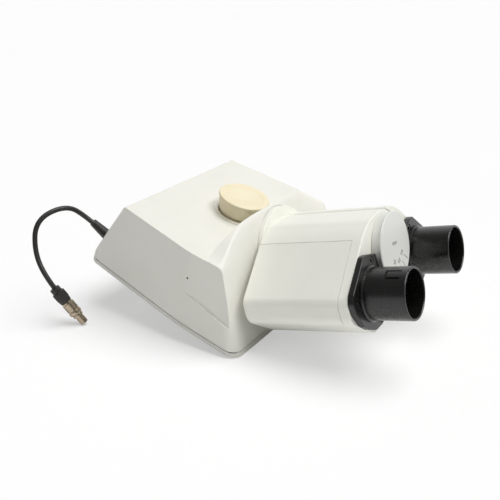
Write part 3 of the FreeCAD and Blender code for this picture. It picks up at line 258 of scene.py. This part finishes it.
def lathe(profile, steps=96, closed=False, width=0.15):
    """Spin (radius, height) corners in millimetres once round Z."""
    bm = bmesh.new()
    chain = [bm.verts.new((radius * MM, 0, height * MM)) for radius, height in profile]
    ends = zip(chain, chain[1:] + chain[:1]) if closed else zip(chain, chain[1:])
    for first, second in ends:
        bm.edges.new((first, second))
    bmesh.ops.spin(bm, geom=bm.verts[:] + bm.edges[:], axis=(0, 0, 1), cent=(0, 0, 0), angle=tau, steps=steps,
                   use_merge=True)
    bmesh.ops.remove_doubles(bm, verts=bm.verts, dist=1e-7)
    return soften(bm, width) if width else bm


print("lathe ready")

# %% Slabs with rounded corners
def round_corner(bm, corner, before, after, radius, steps):
    """Round the upright edge over one corner of an outline."""
    back, ahead = before - corner, after - corner
    reach = radius / tan(back.angle(ahead) / 2)
    upright = [edge for edge in bm.edges if all((v.co.xy - corner * MM).length < 1e-7 for v in edge.verts)]
    bmesh.ops.bevel(bm, geom=upright, offset=reach * MM, offset_type="OFFSET", segments=steps, profile=0.5,
                    affect="EDGES", material=-1)


def slab(outline, low, high, steps=8):
    """Push rows of (across, along, corner radius) up into a slab, in millimetres."""
    bm = bmesh.new()
    face = bm.faces.new([bm.verts.new((across * MM, along * MM, low * MM)) for across, along, _ in outline])
    grown = bmesh.ops.extrude_face_region(bm, geom=[face])
    top = [item for item in grown["geom"] if isinstance(item, bmesh.types.BMVert)]
    bmesh.ops.translate(bm, verts=top, vec=(0, 0, (high - low) * MM))
    corners = [Vector((across, along)) for across, along, _ in outline]
    for index, (_, _, radius) in enumerate(outline):
        if radius:
            round_corner(bm, corners[index], corners[index - 1], corners[(index + 1) % len(corners)], radius, steps)
    bmesh.ops.recalc_face_normals(bm, faces=bm.faces)
    return bm


print("slab ready")

# %% Cut and join
def worked(bm, tool, operation="DIFFERENCE"):
    """Cut or join two closed meshes with Blender's exact boolean."""
    pair = []
    for source in (bm, tool):
        mesh = bpy.data.meshes.new("blank")
        source.to_mesh(mesh)
        source.free()
        pair.append(bpy.data.objects.new("blank", mesh))
        bpy.context.scene.collection.objects.link(pair[-1])
    step = pair[0].modifiers.new("cut", "BOOLEAN")
    step.object, step.operation, step.solver = pair[1], operation, "EXACT"
    result = bmesh.new()
    result.from_object(pair[0], bpy.context.evaluated_depsgraph_get())
    for blank in pair:
        bpy.data.meshes.remove(blank.data)
    bmesh.ops.remove_doubles(result, verts=result.verts, dist=1e-7)
    bmesh.ops.dissolve_limit(result, angle_limit=radians(0.4), verts=result.verts, edges=result.edges)
    return result


def drum(radius, low, high, across=0.0, along=0.0, steps=96):
    """A plain round tool for cutting."""
    bm = bmesh.new()
    bmesh.ops.create_cone(bm, cap_ends=True, segments=steps, radius1=radius * MM, radius2=radius * MM,
                          depth=(high - low) * MM)
    bmesh.ops.translate(bm, verts=bm.verts, vec=Vector((across, along, (low + high) / 2)) * MM)
    return bm


print("cuts ready")

# %% Hand a piece over
def piece(name, bm, place, slot, body, *nodes, finish=None):
    """Put a finished mesh in its place; it rides on a body and stands for CAD nodes."""
    bm.transform(place)
    bmesh.ops.recalc_face_normals(bm, faces=bm.faces)
    mesh = bpy.data.meshes.new(name)
    bm.to_mesh(mesh)
    bm.free()
    mesh.shade_smooth()
    mesh.set_sharp_from_angle(angle=radians(35))
    mesh.materials.append((finish or FINISHES[slot]).material)
    made = bpy.data.objects.new(name, mesh)
    bpy.context.scene.collection.objects.link(made)
    made.modifiers.new("even shading", "WEIGHTED_NORMAL").keep_sharp = True
    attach(made, body)
    if nodes:
        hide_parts(*nodes)
    print(name, len(mesh.polygons), "faces")
    return made


# %% [markdown]
# ## The control cable
# A short round cable leaves the housing's rear wall through a strain relief, arches up and comes
# down to a small round plug that stands on the table. A NURBS curve with few control points is the
# way a stiff cable bends: no point pulls a corner into it. The points are those of the CAD's route.

# %% Cable
ROUTE = [(-0.052, 0.11092, 0.05571), (-0.052, 0.12963, 0.0663), (-0.0685, 0.1329, 0.0804),
         (-0.0897, 0.1433, 0.0735), (-0.098, 0.1386, 0.0508), (-0.10075, 0.1241, 0.03343),
         (-0.09643, 0.11708, 0.02174)]
CABLE_RADIUS = 1.85

line = bpy.data.curves.new("control_cable", "CURVE")
line.dimensions, line.bevel_depth, line.bevel_resolution = "3D", CABLE_RADIUS * MM, 5
line.use_fill_caps, line.resolution_u = True, 24
spline = line.splines.new("NURBS")
spline.points.add(len(ROUTE) - 1)
for point, spot in zip(spline.points, ROUTE):
    point.co = (*spot, 1)
spline.order_u, spline.use_endpoint_u = 3, True
cable = bpy.data.objects.new("control_cable", line)
bpy.context.scene.collection.objects.link(cable)
line.materials.append(FINISHES["cord_black"].material)
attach(cable, "housing")
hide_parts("cable")
print("cable points", len(ROUTE))

# %% [markdown]
# ## The strain relief and the plug
# The relief is a tapered rubber sleeve. The plug has a ribbed rubber boot, a turning sleeve of
# nickel with a knurled band, and a nose with contact pins. All of them are turned pieces on one
# axis, so each is a short profile that is spun.

# %% Strain relief
RELIEF = HEAD @ move(-52, 132.955, 16.6) @ turn(13 - 90, "X")
RELIEF_LENGTH = 19.0
relief_profile = [(1.95, -7), (4.7, -7), (4.7, -5), (3.2, -5), (3.2, 2.4), (4.4, 2.4), (4.4, 3.6), (4.1, 4.1),
                  (2.9, RELIEF_LENGTH), (2.45, RELIEF_LENGTH), (1.95, RELIEF_LENGTH - 4)]
piece("cable_relief", lathe(relief_profile, 48, closed=True, width=0.12), RELIEF, "cord_black", "housing",
      "strain_relief")

# %% Plug
PLUG = Matrix.Translation((-0.09915, 0.1215, 0.0291)) @ turn(-58.4, "Z") @ turn(144.8, "Y")


def ribbed(bm, low, high, depth, steps):
    """Press every second column of a turned band inwards, as knurling does."""
    for vertex in bm.verts:
        column = round(vertex.co.xy.angle_signed(Vector((1, 0)), 0) / tau * steps)
        if low * MM < vertex.co.z < high * MM and vertex.co.xy.length > 3.5 * MM and column % 2:
            vertex.co.xy *= 1 - depth * MM / vertex.co.xy.length
    return bm


boot_profile = [(0, 9.3), (1.95, 9.3), (1.95, 0), (3.3, 0), (3.7, 0.4), (3.7, 3.1), (3.45, 3.2), (3.45, 3.6),
                (4.3, 3.9), (4.7, 4.5), (4.7, 9.3), (4.65, 9.6), (4.2, 12.8), (3.9, 13), (0, 13)]
boot = ribbed(lathe(boot_profile, 64, width=0), 4.2, 9.5, 0.3, 64)
sleeve_profile = [(3.3, 13.3), (3.9, 13.3), (4.0, 14.3), (4.35, 14.6), (4.4, 15), (4.4, 20.4), (4.35, 20.8),
                  (4.05, 21.1), (4.05, 21.4), (4.6, 21.7), (4.7, 22), (4.7, 23.6), (4.1, 24.4), (3.3, 24.4)]
grip = ribbed(lathe(sleeve_profile, 96, closed=True, width=0), 14.9, 20.5, 0.14, 96)
core_profile = [(0, 13), (3.2, 13), (3.2, 24.8), (3.7, 24.8), (3.8, 24.9), (3.8, 26.6), (3.7, 26.7), (3.0, 26.7),
                (2.9, 27.1), (2.9, 33.2), (2.7, 33.5), (2.3, 33.5), (2.3, 27.5), (0, 27.5)]
plug_pieces = [piece("cable_boot", boot, PLUG, "cord_black", "housing", "plug_boot"),
               piece("plug_grip", grip, PLUG, "nickel", "plug_ring", "plug_sleeve"),
               piece("plug_nose", lathe(core_profile, 64, width=0.05), PLUG, "nickel", "housing", "plug_core"),
               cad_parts["plug_pins"]]

# %% [markdown]
# The whole cable shows in the photograph: about 123 mm from inside the strain relief to inside the boot.

print("cable about 123 mm long")

# %% [markdown]
# ## The photo port and its cap
# A silver ring is let into the roof and the cream cap sits in it like a bung. Both are turned. The
# cap widens towards its top, where a straight band with a small step under it gives the fingers a
# hold. Its top has a shallow dish, left bare.

# %% Port ring and cap
RING_TOP = 59.0
ring_profile = [(15.5, 52.2), (17.8, 52.2), (17.8, 58.2), (19.5, 58.2), (19.5, 58.7), (19.1, RING_TOP),
                (16.7, RING_TOP), (15.5, 57.8)]
piece("port_ring", lathe(ring_profile, 96, closed=True, width=0.12), PORT, "silver", "housing", "photo_port_ring")
cap_profile = [(0, 54), (15.2, 54), (15.2, 59), (15.8, 59.3), (16.1, 60.4), (17.8, 68.9), (17.9, 69.8),
               (18.6, 70.1), (18.6, 71.3), (18.1, 71.9), (14.6, 71.9), (14.2, 71.6), (0, 71.6)]
piece("port_cap", lathe(cap_profile, 128, width=0.3), PORT, "cap_plastic", "cap", "photo_port_cap")

# %% [markdown]
# ## The wings
# Each wing is a hollow casting around the swing axis that reaches out to its eyepiece. From
# outside it is a slab with a rounded outline, so that is how it is made: push the outline up, round
# the rims and join the drum round the axis. The near wing carries the hub, and the far one a thin disc
# that is sunk in the housing behind it. The cover is a part of the same form, parted along a fine
# seam, so both are cut from one blank and always match.

# %% Wing blanks
WING_REAR, WING_FRONT, DISC_REAR, DISC_FRONT = 10.0, 86.0, 5.5, 9.7
HUB_RADIUS, DISC_RADIUS, SWING_GAP = 25.0, 32.6, 0.4
SEAM_OUT, SEAM_FRONT, SEAM = 23.4, 79.5, 0.35


def rims(bm, low, high, width, segments=4):
    """Round the edges round the two flat faces of a slab."""
    edges = [edge for edge in bm.edges
             if all(abs(v.co.z - low * MM) < 1e-7 for v in edge.verts)
             or all(abs(v.co.z - high * MM) < 1e-7 for v in edge.verts)]
    bmesh.ops.bevel(bm, geom=edges, offset=width * MM, offset_type="OFFSET", segments=segments, profile=0.5,
                    affect="EDGES", material=-1)
    return bm


def wing_blank(side):
    """One whole wing, before case and cover part."""
    lead = radians(109)
    start = (HUB_RADIUS * cos(lead), HUB_RADIUS * sin(lead), 0) if side < 0 else (2.3, 26.5, 2.5)
    outline = [(0, 0, 0), start, (6, 28.5, 10), (20, 28.2, 40), (66, 14, 7), (70.5, 0.5, 10), (51, -29, 9),
               (38, -26.98, 6)]
    rear = WING_REAR if side < 0 else DISC_FRONT
    blank = slab([(side * out, up, radius) for out, up, radius in outline], rear, WING_FRONT)
    rims(rims(blank, WING_FRONT, WING_FRONT, 0.7), rear, rear, 0.5)
    if side < 0:
        return worked(blank, rims(drum(HUB_RADIUS, rear, WING_FRONT), rear, WING_FRONT, 0.6), "UNION")
    blank = worked(blank, drum(HUB_RADIUS + SWING_GAP, rear - 1, WING_FRONT + 1))
    return worked(blank, rims(drum(DISC_RADIUS, DISC_REAR, rear), DISC_REAR, rear, 0.4), "UNION")


def cover_zone(side, grow):
    """The part of a wing that belongs to its cover."""
    near, far = SEAM_OUT + SEAM - grow, 95.0
    zone = slab([(side * near, -60, 0), (side * far, -60, 0), (side * far, 60, 0), (side * near, 60, 0)],
                0, SEAM_FRONT + grow - SEAM)
    if side > 0:
        return worked(zone, drum(DISC_RADIUS + SEAM - grow, -5, DISC_FRONT + SEAM - grow))
    return worked(zone, drum(HUB_RADIUS + SEAM - grow, -5, 100))


print("wing blanks ready")

# %% Cases and covers
for name, side in WINGS.items():
    case = soften(worked(wing_blank(side), cover_zone(side, SEAM)), 0.15, above=50)
    cover = soften(worked(wing_blank(side), cover_zone(side, 0), "INTERSECT"), 0.15, above=50)
    piece(name + "_casting", case, ARMS[name], "wing_paint", name + "_wing", name + "_wing_case")
    piece(name + "_side_cover", cover, ARMS[name], "wing_paint", name + "_wing", name + "_wing_cover")

# %% [markdown]
# ## Eyepiece plates and sleeves
# A black plate closes the front of each wing and carries the eyepiece sleeve on three sunk screws.
# The plate's outline is a chain of short sides with rounded corners, and its rims are bevelled
# because a dark piece only shows its shape by the light on its edges.

# %% Plates
PLATE_FRONT, PLATE_RIM, SLEEVE_HOLE = 90.0, 0.6, 16.0
SCREW_CIRCLE, SCREW_RECESS, RECESS_RADIUS = 20.4, 2.2, 3.1
SCREW_RADIUS, SCREW_HEIGHT, SOCKET_RADIUS, SOCKET_DEPTH = 2.6, 2.0, 1.4, 1.2
PLATE_OUTLINE = [(-22, 13.5, 2), (-12, 21.3, 2), (-7.5, 23.5, 3), (18.7, 16.6, 3), (23.2, 12.5, 4), (24.2, 5, 8),
                 (21.7, -7, 8), (17.7, -14, 8), (10.7, -21.5, 8), (0.7, -25.5, 8), (-7, -24, 6), (-14, -15, 8),
                 (-19, -3, 8)]


def screw_spots(side):
    """The three screw centres round a sleeve."""
    turns = [radians(134 - 111 * index) for index in range(3)]
    return [(side * SCREW_CIRCLE * cos(angle), SCREW_CIRCLE * sin(angle)) for angle in turns]


for name, side in WINGS.items():
    plate = slab([(side * out, up, radius) for out, up, radius in PLATE_OUTLINE], WING_FRONT, PLATE_FRONT, 5)
    rims(plate, 0, PLATE_FRONT, PLATE_RIM, 3)
    plate = worked(plate, drum(SLEEVE_HOLE, WING_FRONT - 1, PLATE_FRONT + 1))
    for across, along in screw_spots(side):
        recess = drum(RECESS_RADIUS, PLATE_FRONT - SCREW_RECESS, PLATE_FRONT + 1, across, along, 48)
        plate = worked(plate, recess)
    piece(name + "_eyepiece_plate", soften(plate, 0.2, above=50), TUBES[name], "dark_plate", name + "_wing",
          name + "_tube_plate")

# %% Plate screws
def cap_screw(across, along, foot):
    """The head of a socket screw, its six-sided socket cut into it."""
    top = foot + SCREW_HEIGHT
    head = worked(drum(SCREW_RADIUS, foot, top, steps=48), drum(SOCKET_RADIUS, top - SOCKET_DEPTH, top + 1, steps=6))
    soften(head, 0.2, above=50)
    bmesh.ops.translate(head, verts=head.verts, vec=Vector((across, along, 0)) * MM)
    return head


def gathered(parts):
    """Several meshes as one."""
    bm = bmesh.new()
    for part in parts:
        mesh = bpy.data.meshes.new("part")
        part.to_mesh(mesh)
        part.free()
        bm.from_mesh(mesh)
        bpy.data.meshes.remove(mesh)
    return bm


for name, side in WINGS.items():
    heads = gathered([cap_screw(across, along, PLATE_FRONT - SCREW_RECESS) for across, along in screw_spots(side)])
    piece(name + "_eyepiece_screws", heads, TUBES[name], "dark_steel", name + "_wing", name + "_plate_screws")

# %% [markdown]
# The sleeves are turned tubes with a thin bright rim and a lip where they meet the plate. The left
# one has a spring tab: a bracket-shaped slot leaves a tongue that presses on the eyepiece.

# %% Sleeves
SLEEVE_END = PLATE_FRONT + 28.4
sleeve_outline = [(13, 83), (15.9, 83), (15.9, PLATE_FRONT), (17.8, PLATE_FRONT), (17.8, 91.1), (17.3, 91.4),
                  (16.6, 91.9), (16.6, SLEEVE_END - 0.6), (16.3, SLEEVE_END - 0.15), (16.0, SLEEVE_END),
                  (15.5, SLEEVE_END), (15.0, SLEEVE_END - 0.5), (15.0, 85), (13, 85)]
SLOT_START, SLOT_LENGTH, SLOT_WIDTH, SLOT_TURN, SLOT_SPAN = 104.2, 9.8, 1.2, 80.8, 20.8


def bar(inner, outer, half, low, high, degrees):
    """A square cutting bar that points outwards at an angle."""
    bm = slab([(inner, -half, 0), (outer, -half, 0), (outer, half, 0), (inner, half, 0)], low, high)
    bm.transform(turn(degrees, "Z"))
    return bm


for name in WINGS:
    sleeve = lathe(sleeve_outline, 128, closed=True, width=0)
    if name == "left":
        for degrees in (SLOT_TURN, SLOT_TURN + SLOT_SPAN):
            sleeve = worked(sleeve, bar(13, 19, SLOT_WIDTH / 2, SLOT_START, SLOT_START + SLOT_LENGTH, degrees))
        sleeve = worked(sleeve, bar(13, 19, 3.4, SLOT_START, SLOT_START + SLOT_WIDTH, SLOT_TURN + SLOT_SPAN / 2))
    piece(name + "_eyepiece_sleeve", sleeve, TUBES[name], "black_anodised", name + "_wing", name + "_sleeve")

# %% [markdown]
# ## The distance dial
# The dial on the swing axis shows the distance between the eyes. It is a drum with a slightly
# wider face. The numbers are Blender text made into a mesh and laid a hair above the face; each
# tick is a thin slab. Only plain numbers are on it.

# %% Dial drum and face
DIAL_FRONT = 92.9
drum_profile = [(13.1, 86.3), (22.8, 86.3), (22.8, 91.7), (13.1, 91.7)]
piece("dial_body", lathe(drum_profile, 96, closed=True, width=0.2), SPINDLE, "dial_plastic", "housing", "dial_drum")
face_profile = [(0, 91.7), (23.3, 91.7), (23.3, 92.5), (22.9, DIAL_FRONT), (0, DIAL_FRONT)]
piece("dial_disc", lathe(face_profile, 128, width=0.1), SPINDLE, "dial_plastic", "housing", "dial_face")

# %% Numbers and ticks
INK = grained("dial_ink", (44, 44, 46), (60, 60, 62), 0.5, 900, 0.0)


def number(text, height, across, along, degrees):
    """Flat text as a mesh, centred on a spot and turned."""
    words = bpy.data.curves.new("words", "FONT")
    words.body, words.size, words.extrude = text, height * MM, 0.015 * MM
    words.align_x, words.align_y = "CENTER", "CENTER"
    holder = bpy.data.objects.new("words", words)
    bpy.context.scene.collection.objects.link(holder)
    mesh = bpy.data.meshes.new_from_object(holder.evaluated_get(bpy.context.evaluated_depsgraph_get()))
    bpy.data.objects.remove(holder)
    bm = bmesh.new()
    bm.from_mesh(mesh)
    bpy.data.meshes.remove(mesh)
    bm.transform(move(across, along, DIAL_FRONT + 0.02) @ turn(degrees, "Z"))
    return bm


def tick(inner, outer, half, degrees):
    bm = slab([(inner, -half, 0), (outer, -half, 0), (outer, half, 0), (inner, half, 0)], DIAL_FRONT - 0.01,
              DIAL_FRONT + 0.03)
    bm.transform(turn(degrees, "Z"))
    return bm


marks = [number("mm", 4.6, -1, 3, -8)]
for index, label in enumerate(("75", "", "65", "", "55")):
    degrees = -41 - 20 * index
    marks.append(tick(14, 20.5, 0.2, degrees))
    if label:
        marks.append(number(label, 4.2, 10.4 * cos(radians(degrees)), 10.4 * sin(radians(degrees)), degrees + 90))
piece("dial_numbers", gathered(marks), SPINDLE, "dial_plastic", "housing", finish=INK)

# %% [markdown]
# ## The table and the light
# A white sheet fills the view, bleached a little for the camera alone, so the shadows on it are
# pale. The world is white to the camera and lights the object only gently. Shiny pieces see a
# white room ahead of the camera and a dark one behind it, which draws the black sleeves. One wide
# soft sun from above the eyepieces does the rest: roof and wings are bright, the near side is grey.

# %% Stage
BLEACH = 0.42
bm = bmesh.new()
bmesh.ops.create_grid(bm, x_segments=1, y_segments=1, size=12)
ground = bpy.data.meshes.new("table")
bm.to_mesh(ground)
bm.free()
table = bpy.data.objects.new("table", ground)
bpy.context.scene.collection.objects.link(table)
sheet = Finish("white_sheet", Roughness=0.85)
sheet.set("Base Color", sheet.tint(sheet.noise(3.0), (0.94, 0.94, 0.95, 1), (0.97, 0.97, 0.975, 1)))
glow = sheet.node("ShaderNodeEmission", inputs={"Color": (1, 1, 1, 1), "Strength": 1.0})
to_camera = sheet.node("ShaderNodeLightPath", output="Is Camera Ray")
lit = Strand(sheet, sheet.shader.outputs["BSDF"])
sheet.feed(sheet.tree.nodes["Material Output"].inputs["Surface"],
           sheet.node("ShaderNodeMixShader", inputs={0: to_camera * BLEACH, 1: lit, 2: glow}))
ground.materials.append(sheet.material)
print("table laid")

# %% World and lamps
SKY_LEVEL, SUN_LEVEL, SUN_WIDTH = 0.20, 2.8, 50
SUN_FROM = Vector((0.12, -0.36, 0.92))
ROOM_DARK, ROOM_WHITE = 0.0, 0.5

world = bpy.data.worlds.new("studio")
world.use_nodes = True
bpy.context.scene.world = world
sky, nodes = world.node_tree, world.node_tree.nodes


def sky_node(kind, operation, *sources):
    """One node of the sky; sockets are linked in and plain values are set."""
    node = nodes.new(kind)
    if operation:
        node.operation = operation
    for socket, source in zip(node.inputs, sources):
        if isinstance(source, bpy.types.NodeSocket):
            sky.links.new(source, socket)
        else:
            socket.default_value = source
    return node.outputs


rays = nodes.new("ShaderNodeLightPath").outputs
heading = nodes.new("ShaderNodeTexCoord").outputs["Generated"]
ahead = sky_node("ShaderNodeVectorMath", "DOT_PRODUCT", heading, CAMERA_AIM)["Value"]
room = sky_node("ShaderNodeMapRange", None, ahead, ROOM_DARK, ROOM_WHITE, 0.0, 1.0)["Result"]
shine = sky_node("ShaderNodeMath", "MULTIPLY", rays["Is Glossy Ray"], room)["Value"]
seen = sky_node("ShaderNodeMath", "MAXIMUM", rays["Is Camera Ray"], rays["Is Transmission Ray"])["Value"]
white = sky_node("ShaderNodeMath", "MAXIMUM", seen, shine)["Value"]
level = sky_node("ShaderNodeMapRange", None, white, 0.0, 1.0, SKY_LEVEL, 1.0)["Result"]
sky.links.new(level, nodes["Background"].inputs["Strength"])
nodes["Background"].inputs["Color"].default_value = (1, 1, 1, 1)

sun = bpy.data.lights.new("soft_sun", "SUN")
sun.energy, sun.angle, sun.color = SUN_LEVEL, radians(SUN_WIDTH), (1.0, 1.0, 0.99)
lamp = bpy.data.objects.new("soft_sun", sun)
lamp.rotation_mode = "QUATERNION"
lamp.rotation_quaternion = SUN_FROM.to_track_quat("Z", "Y")
bpy.context.scene.collection.objects.link(lamp)
print("light ready")
